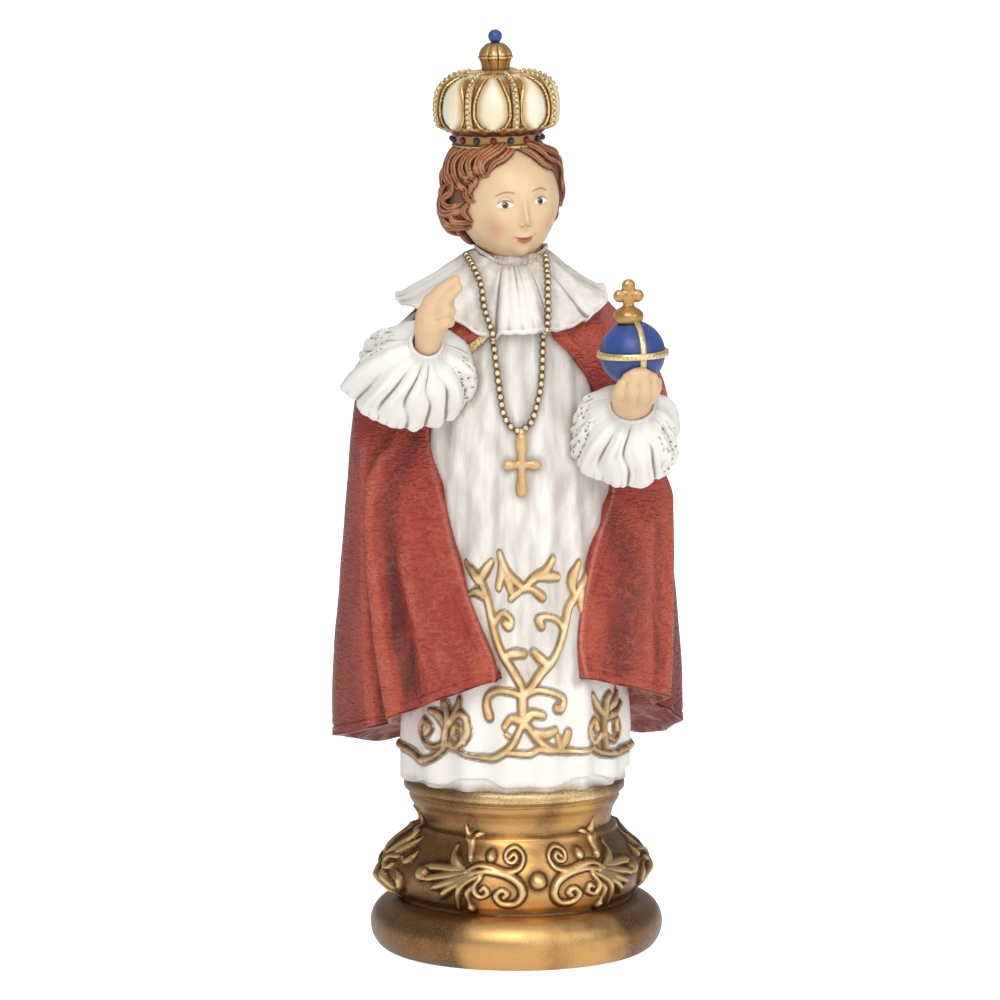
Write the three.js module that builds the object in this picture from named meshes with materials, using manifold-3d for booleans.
import * as THREE from "three";
import { mergeVertices } from "three/addons/utils/BufferGeometryUtils.js";
import Module from "manifold-3d";

// Crowned child figure in a long cape, holding a globe and blessing, on a round scrolled plinth.
// Millimetres, Z up: the figure faces -Y, the plinth stands on Z = 0 and is centred on the Z axis.

// Driving dimensions of the plinth
const FOOT_RADIUS = 31.7;
const FOOT_HEIGHT = 11.3;
const BELLY_RADIUS = 26.6;
const BELLY_HEIGHT = 16.2;
const NECK_RADIUS = 20.4;
const NECK_HEIGHT = 7.3;
const LIP_RADIUS = 23.4;
const LIP_HEIGHT = 2.7;
const SIDE_CORNER_RISE = 3.8;
const FRONT_CORNER_RISE = 1.2;
const BOSS_RADIUS = 1.9;
const STEM_RADIUS = 0.85;
const PLINTH_SIDES = 36;

// Driving dimensions of the figure
const FIGURE_HEIGHT = 162.5;
const HEM_OVERHANG = 1.2;

// What follows from them
const PLINTH_HEIGHT = FOOT_HEIGHT + BELLY_HEIGHT + NECK_HEIGHT + LIP_HEIGHT;
const UNITS_TALL = 162.5;
const UNIT = FIGURE_HEIGHT / UNITS_TALL;
const HEM_RADIUS = (LIP_RADIUS + HEM_OVERHANG) / UNIT;

// The figure's own forms are in units, shares of its height, over the top of the plinth.
// Angles are in degrees from the front, growing towards +X.
const ROBE_TOP = 114;
const ROBE_WIDTH = [[0, HEM_RADIUS], [12, HEM_RADIUS + 0.2], [24, 24], [42, 22.8], [60, 21.4],
  [80, 19.4], [95, 17.8], [103, 16.2], [109, 11.5], [ROBE_TOP, 7]];
const ROBE_DEPTH = [[0, HEM_RADIUS - 1.9], [12, HEM_RADIUS - 1.7], [30, 21.8], [50, 20.8],
  [70, 19.4], [85, 18.4], [95, 17.4], [103, 14.5], [109, 10.5], [ROBE_TOP, 7]];
const ROBE_ROWS = [5, 14, 26, 40, 56, 72, 86, 96, 103, 109];
const ROBE_FOLD_RISE = [[0, 1], [30, 0.95], [60, 0.8], [85, 0.55], [100, 0.15], [108, 0]];
const ROBE_FOLDS = [
  { low: -82, high: -62, reach: 11, rise: 0.8 },
  { low: -60, high: -46, reach: 11, rise: 1 },
  { low: -37.5, high: -30, reach: 11, rise: 1.2 },
  { low: -15, high: -13, reach: 11, rise: 1.1 },
  { low: 7.5, high: 7, reach: 11, rise: 1.2 },
  { low: 28, high: 24, reach: 10, rise: 1.4 },
  { low: 50, high: 40, reach: 10, rise: 1 },
  { low: 72, high: 56, reach: 11, rise: 0.8 },
];
const ROBE_FOLD_BED = 0.5;
const HEM_LIFT = 2.1;
const HEM_WAVE = 0.9;
const HEM_WAVES = 6;
const HEM_TUCK = 0.4;
const UNDERROBE_INSET = 0.9;
const FRONT_SIDES = 20;
const BACK_SIDES = 8;

const CAPE_TOP = 112;
const CAPE_HEM = [[-19, 24.5], [-38, 21.6], [-53, 18.3], [-69, 13.7], [-93, 9.6], [-122, 6.6],
  [-180, 5], [-240, 6], [-262, 7.6], [-280, 11.5], [-294, 17], [-304, 19.6], [-317, 22.2], [-336, 24.3]];
const CAPE_HEM_RADIUS = [[-18, 27.3], [-34, 30], [-49, 32], [-64, 34.8], [-86, 39], [-98, 40],
  [-112, 39.8], [-140, 36], [-162, 32.2], [-190, 30], [-217, 32.6], [-239, 36.2], [-257, 37.2],
  [-272, 36.6], [-284, 34.6], [-296, 34.6], [-303, 35], [-312, 32.4], [-318, 29.2], [-328, 26.9],
  [-337, 26.4]];
const CAPE_LEFT_EDGE = [[24, -19], [33, -24.3], [40, -31], [49, -38.4], [55, -46], [64, -54],
  [77, -60], [86, -52], [95, -39], [100, -29], [106, -20], [CAPE_TOP, -18]];
const CAPE_RIGHT_EDGE = [[24, 22], [32, 22], [41, 25], [49, 31], [54, 36.6], [64, 46], [76, 48],
  [88, 37], [94, 24], [98, 14], [106, 12], [CAPE_TOP, 12]];
const CAPE_SPREAD = [[5, 1], [20, 0.99], [38, 0.91], [60, 0.82], [80, 0.74], [90, 0.56],
  [96, 0.38], [101, 0.22], [106, 0.1], [CAPE_TOP, 0]];
const CAPE_THICKNESS = 2.2;
const CAPE_ROLL = { rise: 0.7, reach: 6 };
const CAPE_FOLD_BED = 0.5;
const CAPE_FOLD_GROWTH = 1.6;
const CAPE_LEAST_FLARE = 1.6;
const CAPE_SHARES = [0, 0.12, 0.3, 0.5, 0.68, 0.79, 0.87, 0.93, 1];
const CAPE_SIDES = { outer: 33, inner: 3 };
// The underside steps in from the hem, rises to its middle and is sunk into the robe
const CAPE_UNDERSIDE = { stepIn: 1.4, stepUp: 0.7, radius: 8, rise: 9, backRise: 3, sunk: 4, middle: 34 };
const CAPE_FOLDS = [
  { low: -52, high: -58, reach: 12, rise: 1.2 },
  { low: -69, high: -70, reach: 7, rise: 1.6 },
  { low: -87, high: -84, reach: 8, rise: 1.4 },
  { low: -108, high: -102, reach: 9, rise: 1 },
  { low: -132, high: -124, reach: 11, rise: 1.2 },
  { low: -156, high: -150, reach: 10, rise: 1.1 },
  { low: -180, high: -178, reach: 11, rise: 1.3 },
  { low: -204, high: -207, reach: 10, rise: 1.1 },
  { low: -228, high: -232, reach: 11, rise: 1.2 },
  { low: -250, high: -255, reach: 9, rise: 1.1 },
  { low: -271, high: -272, reach: 7, rise: 1.4 },
  { low: -300, high: -298, reach: 8, rise: 1.6 },
  { low: -330, high: -322, reach: 8, rise: 1 },
];

const COLLAR_EDGE = [[-180, 20], [-130, 23], [-92, 25.6], [-62, 24.6], [-40, 21.6], [-30, 20.4],
  [-26, 18.4], [-22, 20.6], [-8, 21.4], [5, 20.8], [9.5, 18.4], [14, 20.6], [34, 21.6], [48, 22],
  [65, 20.2], [90, 18.5], [130, 19], [180, 20]];
const COLLAR_DROP = [[-180, 103], [-130, 104.5], [-90, 105.2], [-62, 104.2], [-30, 98.6],
  [-8, 99], [8, 99.3], [14, 100], [34, 101.4], [48, 104], [65, 106.2], [90, 106.8], [130, 105], [180, 103]];
const COLLAR_NECK = { radius: 9.4, top: 114.4, x: -0.8, roll: 0.9 };
const COLLAR_MIDDLE = { inward: 0.42, up: 0.6, rise: 0.9 };
const COLLAR_UNDERSIDE = { radius: 8, z: 102, middle: 96 };
const COLLAR_PLEAT = 0.45;
const COLLAR_PLEATS = 18;
const COLLAR_THICKNESS = 1.6;

const HEAD = { x: -2.3, y: -1, z: 126, turn: 8, tilt: 5, width: 11.1, depth: 12.2, height: 12.6 };
const NECK = { points: [[-0.6, 1, 102], [-1, 0.4, 112], [-1.8, -0.4, 120]], radii: [[0, 6], [1, 5.4]] };
const HAIR_RISE = 2.5;
const CROWN = { x: -4.1, y: 0.6, z: 133.5, tilt: 1.2 };
const ORB = { x: 19.5, y: -33.9, z: 96.6, radius: 7.1, bandLean: 6.5, bandRise: 0.55 };
const ORB_LEANS = [-90, -62, -34, -7, -6.5, 6.5, 7, 34, 62, 90];
const ORB_MERIDIAN = { turn: 8, leans: [-30, 10, 50, 85], radius: 0.85 };
// The cross over the orb: a domed knob, a stem and a head with rounded arms
const ORB_CROSS_PROFILE = [[0, 2.4], [1.2, 3.3], [2.6, 1.6], [4.6, 1.2], [5.4, 2.2], [6.4, 2.2],
  [7.6, 1.5], [9, 1.5]];
const ORB_CROSS = { x: -1, tip: 9.8, knobTop: 3, flatness: 0.6, armsZ: 6, arms: [3.3, 1.2, 1.3] };

const CUFF_PROFILE = [[-0.2, 0.7], [0.04, 1], [0.4, 0.82], [0.76, 0.46], [1, 0]];
const CUFF_FLUTE = { wide: 0.09, long: 0.8, at: 0.15, reach: 0.8 };
const CUFF_ENDS = { behind: 0.5, ahead: 0.4 };
const CUFFS = [
  { back: [-25, -9.5, 87.6], wrist: [-23.4, -22.6, 97], width: 15, height: 11.4,
    wristRadius: 3.1, flutes: 9, roll: 0 },
  { back: [20.6, -18.5, 74.4], wrist: [20.4, -29.6, 83.6], width: 12.6, height: 10,
    wristRadius: 4.2, flutes: 8, roll: 10 },
];

// Limbs: the points of each curve, its radii by share of its length, sides, steps and flatness
const SLEEVES = [
  { points: [[-14, 2, 98], [-24, -2, 89], [-24.6, -12, 88.5]], radii: [[0, 7], [0.5, 8.5], [1, 8]],
    sides: 6, steps: 2 },
  { points: [[13, 2, 96], [21, -2, 82], [21, -18, 75]], radii: [[0, 7], [0.5, 8.5], [1, 7]],
    sides: 6, steps: 2 },
];
const BLESSING_HAND = [
  { points: [[-23.6, -21.6, 94], [-23.6, -23.6, 99], [-23.7, -25.2, 106.4]],
    radii: [[0, 3], [0.3, 3], [0.75, 4], [1, 3.4]], sides: 7, steps: 4, flatness: 0.72 },
  { points: [[-23.6, -25.4, 105.6], [-21.8, -26, 109.2], [-18.4, -27.2, 111.8]],
    radii: [[0, 2.8], [0.5, 2.1], [1, 1.3]], sides: 6, steps: 3, flatness: 0.8 },
  { points: [[-22.6, -26, 104.4], [-20.6, -27.6, 106], [-18.9, -26.4, 104.6]],
    radii: [[0, 1.7], [1, 1.3]], sides: 4, steps: 2 },
  { points: [[-22.6, -25.6, 101.4], [-20.4, -27, 103], [-18.7, -26, 101.6]],
    radii: [[0, 1.7], [1, 1.3]], sides: 4, steps: 2 },
];
const ORB_PALM = { points: [[20.4, -30, 82], [20.2, -32.6, 86], [20.6, -35, 89]],
  radii: [[0, 3.4], [0.5, 4.4], [1, 4.2]], sides: 6, steps: 3, flatness: 0.7 };
const ORB_THUMB = { points: [[23.4, -33, 87], [26, -35.6, 90], [26.4, -36.6, 93.6]],
  radii: [[0, 1.6], [0.6, 1.4], [1, 1]], sides: 4, steps: 3 };
const ORB_FINGER = { points: [[17, -35.6, 86], [16.4, -39.4, 89], [16.6, -41.2, 91]],
  radii: [[0, 1.5], [0.6, 1.35], [1, 0.9]], sides: 4, steps: 3 };
const ORB_FINGER_PITCH = 2.3;
const ORB_FINGER_RISES = [1.2, 2.6, 2.6, 1.2];

const vector = (x, y, z) => new THREE.Vector3(x, y, z);

const wasm = await Module();
wasm.setup();

const { degToRad, clamp, lerp } = THREE.MathUtils;
const TURN = 360;

// A smooth value through stations of [place, value], level beyond the ends
function through(stations, place) {
  const rising = stations[0][0] < stations[1][0] ? stations : [...stations].reverse();
  const last = rising.length - 1;
  if (place <= rising[0][0]) return rising[0][1];
  if (place >= rising[last][0]) return rising[last][1];
  const next = rising.findIndex(([at]) => at > place);
  const [from, to] = [rising[next - 1], rising[next]];
  const slope = (i) => (rising[i + 1][1] - rising[i][1]) / (rising[i + 1][0] - rising[i][0]);
  const tangent = (i) => {
    if (i === 0 || i === last) return 0;
    const [before, after] = [slope(i - 1), slope(i)];
    return before * after <= 0 ? 0 : (2 * before * after) / (before + after);
  };
  const span = to[0] - from[0];
  const t = (place - from[0]) / span;
  const ease = t * t * (3 - 2 * t);
  return lerp(from[1], to[1], ease)
    + span * (tangent(next - 1) * t * (1 - t) ** 2 - tangent(next) * t * t * (1 - t));
}

// A round swelling of height 1 that fades to nothing at its reach
function swell(distance, reach) {
  return Math.abs(distance) < reach ? 0.5 + 0.5 * Math.cos((Math.PI * distance) / reach) : 0;
}

// The shortest way round from one angle to another
function apart(angle, other) {
  return ((((angle - other + TURN / 2) % TURN) + TURN) % TURN) - TURN / 2;
}

// A closed mesh as a solid that can be joined or cut
function solid(geometry) {
  geometry.deleteAttribute("normal");
  geometry.deleteAttribute("uv");
  const merged = mergeVertices(geometry, 1e-4);
  const corners = [];
  for (let i = 0; i < merged.index.count; i += 3) {
    const [a, b, c] = merged.index.array.subarray(i, i + 3);
    if (a !== b && b !== c && c !== a) corners.push(a, b, c);
  }
  return new wasm.Manifold(new wasm.Mesh({
    numProp: 3,
    vertProperties: merged.attributes.position.array,
    triVerts: new Uint32Array(corners),
  }));
}

// A closed skin of stacked rings, where the first and the last row are single points
function skin(rows, sides, place) {
  const outline = Array.from({ length: rows }, (_, row) => {
    const isPole = row === 0 || row === rows - 1;
    return new THREE.Vector2(isPole ? 0 : 1, row);
  });
  const lathe = new THREE.LatheGeometry(outline, sides);
  const { position, uv } = lathe.attributes;
  for (let i = 0; i < position.count; i++) {
    const side = Math.round(uv.getX(i) * sides) % sides;
    const row = Math.round(uv.getY(i) * (rows - 1));
    position.setXYZ(i, ...place(side / sides, row).toArray());
  }
  return solid(lathe);
}

// A tapered bar along a smooth curve, for limbs, locks, stems and leaves
function bar(points, radii, sides, steps, flatness = 1) {
  const curve = new THREE.CatmullRomCurve3(points);
  const { normals, binormals, tangents } = curve.computeFrenetFrames(steps, false);
  return skin(steps + 3, sides, (turn, row) => {
    const step = clamp(row - 1, 0, steps);
    const share = step / steps;
    const radius = through(radii, share);
    const point = curve.getPointAt(share);
    if (row === 0) return point.addScaledVector(tangents[0], -radius * 0.5);
    if (row === steps + 2) return point.addScaledVector(tangents[steps], radius * 0.5);
    const angle = degToRad(TURN * turn);
    return point
      .addScaledVector(normals[step], radius * Math.cos(angle))
      .addScaledVector(binormals[step], radius * flatness * Math.sin(angle));
  });
}

// A ball stretched to its half sizes
function egg(centre, halves, sides, rows) {
  const ball = new THREE.SphereGeometry(1, sides, rows);
  ball.rotateX(Math.PI / 2).scale(...halves).translate(...centre.toArray());
  return solid(ball);
}

// One solid of crossing forms, with the pockets that they close between them filled
function join(forms) {
  const whole = forms.reduce((joined, next) => joined.add(next));
  const shells = whole.decompose().filter((shell) => shell.volume() > 0);
  return shells.reduce((joined, next) => joined.add(next));
}

function around(angle, radius, z) {
  const turn = degToRad(angle);
  return vector(radius * Math.sin(turn), -radius * Math.cos(turn), z);
}

// An angle by share of the sides, which lie closer together within the front's reach than behind it
function frontAngle(turn, frontSides, reach) {
  const front = frontSides / 2;
  const from = turn < 0.5 ? turn : turn - 1;
  if (Math.abs(from) < front) return (from / front) * reach;
  return Math.sign(from) * lerp(reach, TURN / 2, (Math.abs(from) - front) / (0.5 - front));
}

// Plinth

const SHOULDER_Z = FOOT_HEIGHT + BELLY_HEIGHT;
const BELLY_PROFILE = [
  [FOOT_HEIGHT + 0.02 * BELLY_HEIGHT, BELLY_RADIUS - 1.9],
  [FOOT_HEIGHT + 0.36 * BELLY_HEIGHT, BELLY_RADIUS],
  [FOOT_HEIGHT + 0.56 * BELLY_HEIGHT, lerp(NECK_RADIUS, BELLY_RADIUS, 0.88)],
  [FOOT_HEIGHT + 0.78 * BELLY_HEIGHT, lerp(NECK_RADIUS, BELLY_RADIUS, 0.54)],
  [SHOULDER_Z, lerp(NECK_RADIUS, BELLY_RADIUS, 0.13)],
];
const NECK_PROFILE = [
  [SHOULDER_Z + 0.05 * NECK_HEIGHT, NECK_RADIUS],
  [SHOULDER_Z + 0.55 * NECK_HEIGHT, lerp(NECK_RADIUS, LIP_RADIUS, 0.2)],
  [SHOULDER_Z + NECK_HEIGHT, lerp(NECK_RADIUS, LIP_RADIUS, 0.74)],
];
const LIP_PROFILE = [
  [PLINTH_HEIGHT - 0.8 * LIP_HEIGHT, LIP_RADIUS],
  [PLINTH_HEIGHT, LIP_RADIUS - 0.35],
];
const CORNERS = [30, 150, 210, 330].map((angle) => ({ angle, rise: FRONT_CORNER_RISE }))
  .concat([90, 270].map((angle) => ({ angle, rise: SIDE_CORNER_RISE })));
const CORNER_REACH = 19;
const CORNER_SHARE = [[FOOT_HEIGHT, 0.4], [FOOT_HEIGHT + 0.35 * BELLY_HEIGHT, 1],
  [FOOT_HEIGHT + 0.78 * BELLY_HEIGHT, 1], [SHOULDER_Z, 0.2]];

function footProfile() {
  const half = FOOT_HEIGHT / 2;
  return [-90, -45, -5, 35, 90].map((lean) => {
    const turn = degToRad(lean);
    return [half * (1 + Math.sin(turn)), FOOT_RADIUS - half * (1 - Math.cos(turn))];
  });
}

function cornerRise(angle, z) {
  if (z < FOOT_HEIGHT || z > SHOULDER_Z) return 0;
  const rise = CORNERS.reduce((sum, corner) =>
    sum + corner.rise * swell(apart(angle, corner.angle), CORNER_REACH), 0);
  return rise * through(CORNER_SHARE, z);
}

function onBelly(angle, z, lift) {
  return around(angle, through(BELLY_PROFILE.concat(NECK_PROFILE), z) + cornerRise(angle, z) + lift, z);
}

function plinthBody() {
  const rings = [...footProfile(), ...BELLY_PROFILE, ...NECK_PROFILE, ...LIP_PROFILE];
  return skin(rings.length + 2, PLINTH_SIDES, (turn, row) => {
    if (row === 0) return vector(0, 0, 0);
    if (row === rings.length + 1) return vector(0, 0, PLINTH_HEIGHT);
    const [z, radius] = rings[row - 1];
    const isFoot = row <= footProfile().length;
    return around(TURN * turn, radius + (isFoot ? 0 : cornerRise(TURN * turn, z)), z);
  });
}

// A rolled scroll on the belly: the centre is across from its corner and at a share of the belly
function scroll(corner, hand, { across, share, inner, outer, turns, start }) {
  const z = FOOT_HEIGHT + share * BELLY_HEIGHT;
  const steps = Math.round(turns * 5);
  const perDegree = degToRad(BELLY_RADIUS);
  const points = Array.from({ length: steps + 1 }, (_, step) => {
    const part = step / steps;
    const radius = lerp(inner, outer, part);
    const turn = degToRad(start + TURN * turns * part);
    const side = (across + radius * Math.cos(turn)) / perDegree;
    return onBelly(corner + hand * side, z + radius * Math.sin(turn), 0.25 * STEM_RADIUS);
  });
  return bar(points, [[0, STEM_RADIUS * 1.3], [1, STEM_RADIUS * 0.8]], 3, steps - 1);
}

// A leaf that lies on the belly and lifts at its tip
function leaf(corner, hand, places, width) {
  const perDegree = degToRad(BELLY_RADIUS);
  const points = places.map(([across, share, lift]) =>
    onBelly(corner + (hand * across) / perDegree, FOOT_HEIGHT + share * BELLY_HEIGHT, lift));
  return bar(points, [[0, width * 0.6], [0.5, width], [1, width * 0.35]], 3, 2);
}

function cornerCarving(corner, hand) {
  const upper = onBelly(corner + (hand * 7) / degToRad(BELLY_RADIUS), FOOT_HEIGHT + 0.78 * BELLY_HEIGHT, 0.1);
  return [
    scroll(corner, hand, { across: 7.4, share: 0.33, inner: 0.8, outer: 3.5, turns: 1.15, start: 20 }),
    egg(upper, [1.8, 1.8, 1.8], 6, 3),
    leaf(corner, hand, [[0, 0.6, 0.3], [0, 0.92, 0.7], [0, 1.14, 1.4]], 1.9),
    leaf(corner, hand, [[0.4, 0.12, 0.3], [-3.4, 0.5, 0.6], [-9, 0.66, 0.4]], 1.6),
    leaf(corner, hand, [[0, 0.04, 0.3], [-4.4, 0.24, 0.6], [-10, 0.38, 0.4]], 1.5),
  ];
}

function sideCarving(corner) {
  return [
    leaf(corner, 1, [[0, 0.3, 0], [0, 0.8, 0.3], [0, 1.1, 0.8]], 2),
    egg(onBelly(corner, FOOT_HEIGHT + 0.26 * BELLY_HEIGHT, -0.6), [2.1, 2.1, 2.1], 6, 3),
    ...[-1, 1].map((hand) =>
      scroll(corner, hand, { across: 5.6, share: 0.36, inner: 0.8, outer: 2.8, turns: 1, start: 90 })),
  ];
}

function makePlinth() {
  const bosses = [0, 60, 300].map((panel) =>
    egg(onBelly(panel, FOOT_HEIGHT + 0.36 * BELLY_HEIGHT, 0), Array(3).fill(BOSS_RADIUS), 6, 3));
  return join([
    plinthBody(),
    ...bosses,
    ...cornerCarving(30, -1),
    ...cornerCarving(330, 1),
    ...cornerCarving(150, 1),
    ...cornerCarving(210, -1),
    ...sideCarving(90),
    ...sideCarving(270),
  ]);
}

// Figure, in units over the top of the plinth

function foldRise(folds, angle, share) {
  return folds.reduce((rise, fold) =>
    rise + fold.rise * swell(apart(angle, lerp(fold.low, fold.high, share)), fold.reach), 0);
}

function ovalRadius(angle, width, depth) {
  const turn = degToRad(angle);
  return 1 / Math.hypot(Math.sin(turn) / width, Math.cos(turn) / depth);
}

function robeRadius(angle, z) {
  const folds = foldRise(ROBE_FOLDS, angle, clamp(z / ROBE_TOP, 0, 1)) - ROBE_FOLD_BED;
  return ovalRadius(angle, through(ROBE_WIDTH, z), through(ROBE_DEPTH, z))
    + folds * through(ROBE_FOLD_RISE, z);
}

// Angles round a front that has more sides than the back, and the front's middle
const FRONT_REACH = 66;
const FRONT_MIDDLE = -5;
const ROUND_SIDES = FRONT_SIDES + BACK_SIDES;
const roundAngle = (turn) => frontAngle(turn, FRONT_SIDES / ROUND_SIDES, FRONT_REACH) + FRONT_MIDDLE;

function hemHeight(angle) {
  return HEM_LIFT - HEM_WAVE * Math.cos(HEM_WAVES * degToRad(angle));
}

function robe() {
  const rows = ROBE_ROWS.length + 5;
  return skin(rows, ROUND_SIDES, (turn, row) => {
    const angle = roundAngle(turn);
    if (row === 0) return vector(0, 0, 0);
    if (row === rows - 1) return vector(0, 0, ROBE_TOP);
    const hem = hemHeight(angle);
    if (row === 1) return around(angle, robeRadius(angle, 0) - UNDERROBE_INSET, 0);
    if (row === 2) return around(angle, robeRadius(angle, 0) - UNDERROBE_INSET, hem + HEM_TUCK);
    if (row === 3) return around(angle, robeRadius(angle, 0), hem);
    const z = ROBE_ROWS[row - 4];
    return around(angle, robeRadius(angle, z), z);
  });
}

function capeRadius(angle, z) {
  const wrapped = angle > 0 ? angle - TURN : angle;
  const body = ovalRadius(angle, through(ROBE_WIDTH, z), through(ROBE_DEPTH, z)) + CAPE_THICKNESS;
  const spread = through(CAPE_SPREAD, z);
  const flare = Math.max(through(CAPE_HEM_RADIUS, wrapped) - body, CAPE_LEAST_FLARE);
  const folds = foldRise(CAPE_FOLDS, angle, clamp(z / CAPE_TOP, 0, 1)) - CAPE_FOLD_BED;
  return body + flare * spread + folds * Math.min(1, CAPE_FOLD_GROWTH * spread);
}

function capeHeight(angle, share) {
  const wrapped = angle > 0 ? angle - TURN : angle;
  return lerp(through(CAPE_HEM, wrapped), CAPE_TOP, share);
}

function cape() {
  const { outer, inner } = CAPE_SIDES;
  const under = CAPE_UNDERSIDE;
  const rows = CAPE_SHARES.length + 4;
  const sides = outer + inner;
  return skin(rows, sides, (turn, row) => {
    if (row === 0) return vector(0, 0, under.middle);
    if (row === rows - 1) return vector(0, 0, CAPE_TOP + COLLAR_THICKNESS / 3);
    const side = Math.round(turn * sides);
    const share = CAPE_SHARES[Math.max(row - 3, 0)];
    const edgeZ = lerp(CAPE_HEM[0][1], CAPE_TOP, share);
    const right = through(CAPE_RIGHT_EDGE, edgeZ);
    const left = through(CAPE_LEFT_EDGE, edgeZ) + TURN;
    const isInner = side >= outer;
    const angle = isInner
      ? lerp(left, right + TURN, (side - outer + 0.3) / inner)
      : lerp(right, left, side / (outer - 1));
    const z = capeHeight(apart(angle, 0), share);
    if (isInner && row === 1) return around(angle, under.radius, z + under.backRise);
    if (isInner) return around(angle, robeRadius(angle, z) - under.sunk, row === 2 ? z + under.backRise : z);
    const toEdge = Math.min(angle - right, left - angle);
    const full = capeRadius(apart(angle, 0), z) + CAPE_ROLL.rise * swell(toEdge, CAPE_ROLL.reach);
    if (row === 1) return around(angle, under.radius, z + under.rise);
    if (row === 2) return around(angle, full - under.stepIn, z + under.stepUp);
    return around(angle, full, z);
  });
}

function collar() {
  const rows = 8;
  const neck = COLLAR_NECK;
  return skin(rows, ROUND_SIDES, (turn, row) => {
    const angle = roundAngle(turn);
    const edge = through(COLLAR_EDGE, apart(angle, 0));
    const drop = through(COLLAR_DROP, apart(angle, 0));
    const pleat = COLLAR_PLEAT * Math.cos(COLLAR_PLEATS * degToRad(angle));
    if (row === 0) return vector(0, 0, COLLAR_UNDERSIDE.middle);
    if (row === rows - 1) return vector(neck.x, 0, neck.top - 2 * neck.roll);
    if (row === 1) return around(angle, COLLAR_UNDERSIDE.radius, COLLAR_UNDERSIDE.z);
    if (row === 2) return around(angle, edge - COLLAR_THICKNESS / 2, drop - COLLAR_THICKNESS / 2 + pleat);
    if (row === 3) return around(angle, edge, drop + COLLAR_THICKNESS / 3 + pleat);
    if (row === 4) {
      const { inward, up, rise } = COLLAR_MIDDLE;
      return around(angle, lerp(edge, neck.radius, inward), lerp(drop, neck.top, up) + rise + pleat);
    }
    const roll = row === 5 ? neck.roll : 0;
    return around(angle, neck.radius - neck.roll / 2 + 1.5 * roll, neck.top - roll).add(vector(neck.x, 0, 0));
  });
}

// A gathered bell cuff from its wide back end to the wrist
function cuff({ back, wrist, width, height, wristRadius, flutes, roll }) {
  const from = vector(...back);
  const axis = vector(...wrist).sub(from);
  const length = axis.length();
  axis.normalize();
  const side = vector(0, 0, 1).cross(axis).negate().normalize();
  const up = axis.clone().cross(side).negate();
  const rows = CUFF_PROFILE.length + 2;
  return skin(rows, flutes * 3, (turn, row) => {
    if (row === 0) return from.clone().addScaledVector(axis, -CUFF_ENDS.behind * length);
    if (row === rows - 1) return from.clone().addScaledVector(axis, length + CUFF_ENDS.ahead);
    const [share, spread] = CUFF_PROFILE[row - 1];
    const flute = Math.cos(flutes * degToRad(TURN * turn)) * swell(share - CUFF_FLUTE.at, CUFF_FLUTE.reach);
    const across = lerp(wristRadius, width, spread) * (1 + CUFF_FLUTE.wide * flute);
    const tall = lerp(wristRadius, height, spread) * (1 + CUFF_FLUTE.wide * flute);
    const angle = degToRad(roll - TURN * turn);
    return from.clone()
      .addScaledVector(axis, length * share - CUFF_FLUTE.long * flute)
      .addScaledVector(side, across * Math.cos(angle))
      .addScaledVector(up, tall * Math.sin(angle));
  });
}

function limb({ points, radii, sides, steps, flatness = 1 }) {
  return bar(points.map((point) => vector(...point)), radii, sides, steps, flatness);
}

function orbHand() {
  const fingers = ORB_FINGER_RISES.map((rise, finger) => {
    const points = ORB_FINGER.points.map(([x, y, z], point) =>
      [x + finger * ORB_FINGER_PITCH, y, z + (point === 2 ? rise : 0)]);
    return limb({ ...ORB_FINGER, points });
  });
  return [limb(ORB_PALM), ...fingers, limb(ORB_THUMB)];
}

function onOrb(angle, lean, rise) {
  const radius = ORB.radius + rise;
  const turn = degToRad(lean);
  return around(angle, radius * Math.cos(turn), radius * Math.sin(turn)).add(vector(ORB.x, ORB.y, ORB.z));
}

function orb() {
  const ball = skin(ORB_LEANS.length, 14, (turn, row) => {
    const lean = ORB_LEANS[row];
    const rise = Math.abs(lean) <= ORB.bandLean ? ORB.bandRise : 0;
    return onOrb(TURN * turn, lean, rise);
  });
  const { turn: meridianTurn, leans, radius: thickness } = ORB_MERIDIAN;
  const onBand = leans.map((lean) => onOrb(meridianTurn, lean, 0));
  const meridian = bar(onBand, [[0, thickness], [1, thickness]], 3, 5);
  const top = vector(ORB.x + ORB_CROSS.x, ORB.y, ORB.z + ORB.radius);
  const rows = ORB_CROSS_PROFILE.length + 2;
  const cross = skin(rows, 6, (turn, row) => {
    if (row === 0) return top.clone();
    if (row === rows - 1) return top.clone().add(vector(0, 0, ORB_CROSS.tip));
    const [z, radius] = ORB_CROSS_PROFILE[row - 1];
    const flatness = z > ORB_CROSS.knobTop ? ORB_CROSS.flatness : 1;
    return around(TURN * turn + 30, radius, z).multiply(vector(1, flatness, 1)).add(top);
  });
  const arms = egg(top.clone().add(vector(0, 0, ORB_CROSS.armsZ)), ORB_CROSS.arms, 6, 3);
  return [ball, meridian, cross, arms];
}

const JAW_TAPER = 0.16;

// The head's own frame: X across the face, -Y out of it, Z up
function inHead(point) {
  return point
    .applyAxisAngle(vector(0, 1, 0), degToRad(-HEAD.tilt))
    .applyAxisAngle(vector(0, 0, 1), degToRad(HEAD.turn))
    .add(vector(HEAD.x, HEAD.y, HEAD.z));
}

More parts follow.
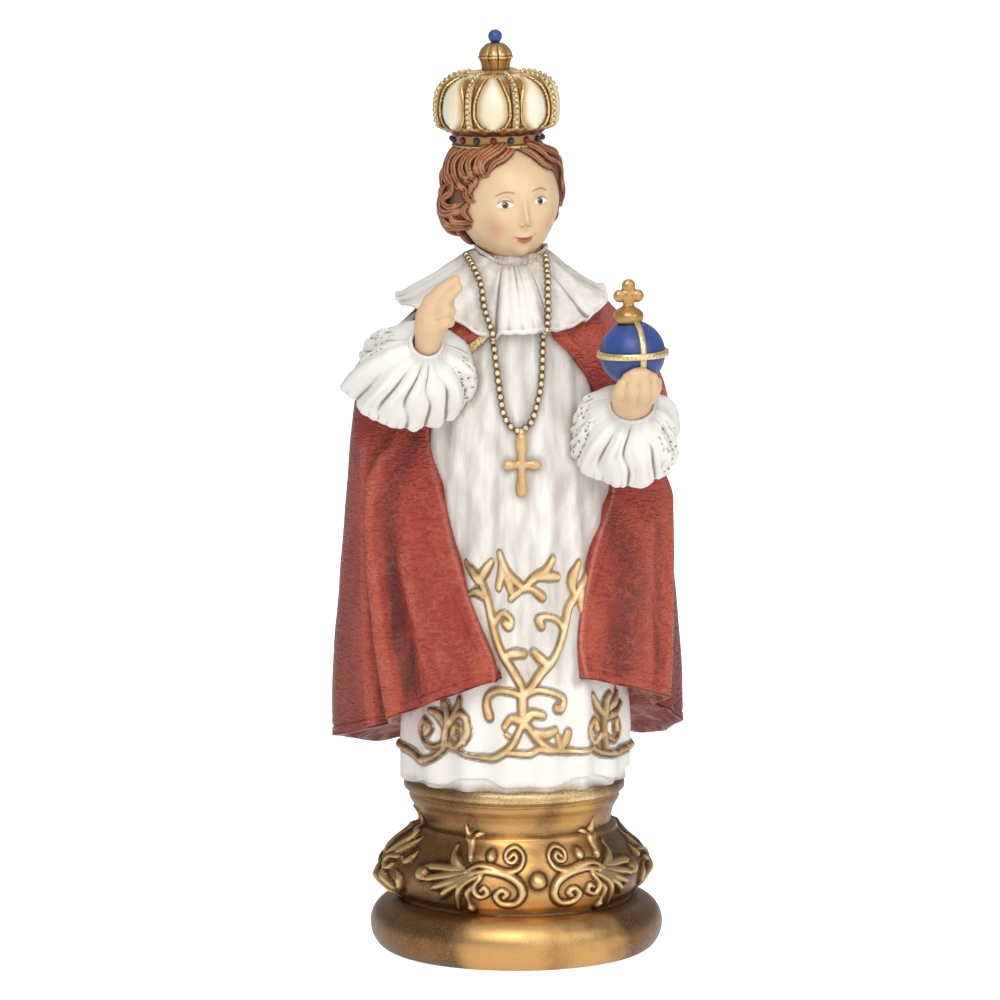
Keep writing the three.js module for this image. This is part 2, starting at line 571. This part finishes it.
const FACE_FEATURES = [
  { across: 0, up: -10, wide: 9, tall: 9, rise: 2.1 },
  { across: 0, up: 2, wide: 7, tall: 12, rise: 0.8 },
  { across: -24, up: 3, wide: 12, tall: 9, rise: -0.8 },
  { across: 24, up: 3, wide: 12, tall: 9, rise: -0.8 },
  { across: 0, up: 17, wide: 36, tall: 10, rise: 0.5 },
  { across: 0, up: -29, wide: 14, tall: 8, rise: 0.9 },
  { across: 0, up: -50, wide: 20, tall: 10, rise: 1 },
  { across: -32, up: -20, wide: 18, tall: 14, rise: 0.6 },
  { across: 32, up: -20, wide: 18, tall: 14, rise: 0.6 },
];

function headRadius(angle, lean) {
  const side = Math.cos(degToRad(lean));
  const jaw = lean < 0 ? 1 - JAW_TAPER * Math.sin(degToRad(-lean)) ** 1.5 : 1;
  const turn = degToRad(angle);
  const oval = 1 / Math.hypot(
    (side * Math.sin(turn)) / (HEAD.width * jaw),
    (side * Math.cos(turn)) / HEAD.depth,
    Math.sin(degToRad(lean)) / HEAD.height);
  return FACE_FEATURES.reduce((radius, { across, up, wide, tall, rise }) =>
    radius + rise * swell(apart(angle, across), wide * 2) * swell(lean - up, tall * 2), oval);
}

const HEAD_FRONT = { sides: 0.56, reach: 70 };

function headSkin(sides, rows, radiusAt) {
  return skin(rows, sides, (turn, row) => {
    const lean = lerp(-90, 90, row / (rows - 1));
    const angle = frontAngle(turn, HEAD_FRONT.sides, HEAD_FRONT.reach);
    const radius = radiusAt(angle, lean);
    const isPole = row === 0 || row === rows - 1;
    const flat = isPole ? 0 : radius * Math.cos(degToRad(lean));
    return inHead(around(angle, flat, radius * Math.sin(degToRad(lean))));
  });
}

// The hair lies over the head outside an oval round the face, and ends at the nape
const FACE_OVAL = { across: 56, up: -12, tall: 50 };
const NAPE_LEAN = -48;
const HAIR_SLOPE = { face: 15, nape: 0.25, sunk: -2 };
const LOCK = { rise: 0.35, across: 9, up: 4 };

function hairRadius(angle, lean) {
  const fromFace = Math.hypot(angle / FACE_OVAL.across, (lean - FACE_OVAL.up) / FACE_OVAL.tall) - 1;
  const lock = LOCK.rise * Math.cos(degToRad(LOCK.across * angle + LOCK.up * lean));
  const { face, nape, sunk } = HAIR_SLOPE;
  const rise = Math.min(fromFace * face, (lean - NAPE_LEAN) * nape, HAIR_RISE + lock);
  return headRadius(angle, lean) + Math.max(rise, sunk);
}

const CURLS = [[-60, 10], [-66, -10], [-66, -30], [60, 12], [66, -10]];
const CURL = [2.8, 2.8, 3.2];

function hair() {
  const curls = CURLS.map(([angle, lean]) => {
    const turn = degToRad(lean);
    const radius = headRadius(angle, lean) + 1;
    return egg(inHead(around(angle, radius * Math.cos(turn), radius * Math.sin(turn))), CURL, 6, 4);
  });
  return [headSkin(18, 9, hairRadius), ...curls];
}

const CROWN_PROFILE = [[0, 9.6], [3, 9.7], [4.2, 11.9], [6.6, 13.2], [10.4, 13.4],
  [13, 12.7], [15.3, 10.4], [16.3, 6]];
const BAND_TOP = 3;
const CROWN_ARCHES = 8;
const ARCH_TURN = -19;
const ARCH_RISES = [0.4, -0.7, 0, -0.7];
const FINIAL_PROFILE = [[15.6, 3], [18.2, 3], [19.4, 3.7], [22, 3.4], [23.4, 1.8], [25, 1.8],
  [25.8, 1], [26.4, 1.3], [27.6, 1.5]];

function inCrown(point) {
  return point
    .applyAxisAngle(vector(0, 1, 0), degToRad(-CROWN.tilt))
    .add(vector(CROWN.x, CROWN.y, CROWN.z));
}

function crown() {
  const rings = CROWN_PROFILE.length;
  const dome = skin(rings + 2, CROWN_ARCHES * ARCH_RISES.length, (turn, row) => {
    if (row === 0) return inCrown(vector(0, 0, 0));
    if (row === rings + 1) return inCrown(vector(0, 0, CROWN_PROFILE[rings - 1][0]));
    const [z, radius] = CROWN_PROFILE[row - 1];
    const side = Math.round(turn * CROWN_ARCHES * ARCH_RISES.length) % ARCH_RISES.length;
    const rise = z > BAND_TOP ? ARCH_RISES[side] : 0;
    return inCrown(around(TURN * turn + ARCH_TURN, radius + rise, z));
  });
  const knob = skin(FINIAL_PROFILE.length + 2, 8, (turn, row) => {
    if (row === 0) return inCrown(vector(0, 0, FINIAL_PROFILE[0][0]));
    if (row === FINIAL_PROFILE.length + 1) return inCrown(vector(0, 0, UNITS_TALL - CROWN.z));
    const [z, radius] = FINIAL_PROFILE[row - 1];
    return inCrown(around(TURN * turn, radius, z));
  });
  return [dome, knob];
}

const ROSARY_LEFT = [[-11.9, -7, 115], [-10.6, -10.8, 111.5], [-9.7, -14.4, 107.8], [-9.6, -17.4, 104.2],
  [-8.9, -19.6, 100.4], [-7.9, -18.6, 96], [-7.2, -18.4, 89.5], [-6.6, -18.8, 84.3], [-5.9, -19, 80.6],
  [-2.6, -19.6, 77.6]];
const ROSARY_RIGHT = [[5.1, -10, 113.7], [4.7, -13.5, 110.7], [4, -17.2, 106.4], [3.6, -19.6, 102.6],
  [2.9, -20.6, 99.1], [2.4, -18.6, 94.3], [2.2, -18.4, 90.4], [1.7, -18.8, 86.2], [0.7, -19, 82.3],
  [-2.6, -19.6, 77.6]];
const BEAD_RADIUS = 0.95;
const CRUCIFIX = [
  { size: [1.6, 1.8, 12], at: [-2.5, -19.9, 70] },
  { size: [7.4, 1.8, 1.7], at: [-2.4, -19.9, 70.4] },
];

function rosary() {
  const strands = [ROSARY_LEFT, ROSARY_RIGHT].map((points) =>
    limb({ points, radii: [[0, BEAD_RADIUS], [1, BEAD_RADIUS]], sides: 3, steps: 6 }));
  const bars = CRUCIFIX.map(({ size, at }) => solid(new THREE.BoxGeometry(...size).translate(...at)));
  return [...strands, ...bars];
}

// Raised embroidery on the robe's front: each stem runs through places of [angle, height]
const EMBROIDERY = [
  [[-33, 47], [-27.4, 42.4], [-22.4, 34.2], [-17, 29.6], [-6.6, 20]],
  [[25, 47], [20.6, 39.7], [15.7, 32.5], [8, 27.6], [-6, 20]],
  [[-20.1, 50.7], [-14, 46.6], [-5.8, 44], [2, 46.4], [11, 49.4]],
  [[-25, 17], [-25.4, 21], [-15, 22], [-6.6, 18], [-12, 10.6], [-30, 7.8], [-50, 9], [-50, 19]],
  [[15, 17], [15.4, 20.6], [5, 22], [-6.4, 18], [0, 11], [20, 8.6], [42.5, 8], [43, 18.5]],
];
const STITCH_RADIUS = 0.75;
const STITCH_LIFT = 0.12;

function embroidery() {
  return EMBROIDERY.map((places) => {
    const points = places.map(([angle, z]) => around(angle, robeRadius(angle, z) + STITCH_LIFT, z));
    return bar(points, [[0, STITCH_RADIUS], [1, STITCH_RADIUS]], 3, places.length - 1);
  });
}

function makeFigure() {
  const figure = join([
    robe(),
    cape(),
    ...SLEEVES.map(limb),
    ...CUFFS.map(cuff),
    ...BLESSING_HAND.map(limb),
    ...orbHand(),
    ...orb(),
    collar(),
    limb({ ...NECK, sides: 7, steps: 1 }),
    headSkin(16, 12, headRadius),
    ...hair(),
    ...crown(),
    ...rosary(),
    ...embroidery(),
  ]);
  return figure.scale([UNIT, UNIT, UNIT]).translate([0, 0, PLINTH_HEIGHT]);
}

function named(name, shape, look) {
  const { vertProperties, triVerts } = shape.getMesh();
  const geometry = new THREE.BufferGeometry();
  geometry.setAttribute("position", new THREE.BufferAttribute(vertProperties, 3));
  geometry.setIndex(new THREE.BufferAttribute(triVerts, 1));
  geometry.computeVertexNormals();
  const mesh = new THREE.Mesh(geometry, new THREE.MeshStandardMaterial(look));
  mesh.name = name;
  return mesh;
}

const statue = new THREE.Group();
statue.add(
  named("plinth", makePlinth(), { color: "#aa783c", roughness: 0.45, metalness: 0.7 }),
  named("figure", makeFigure(), { color: "#c8b49b", roughness: 0.6, metalness: 0 }),
);

export default statue;
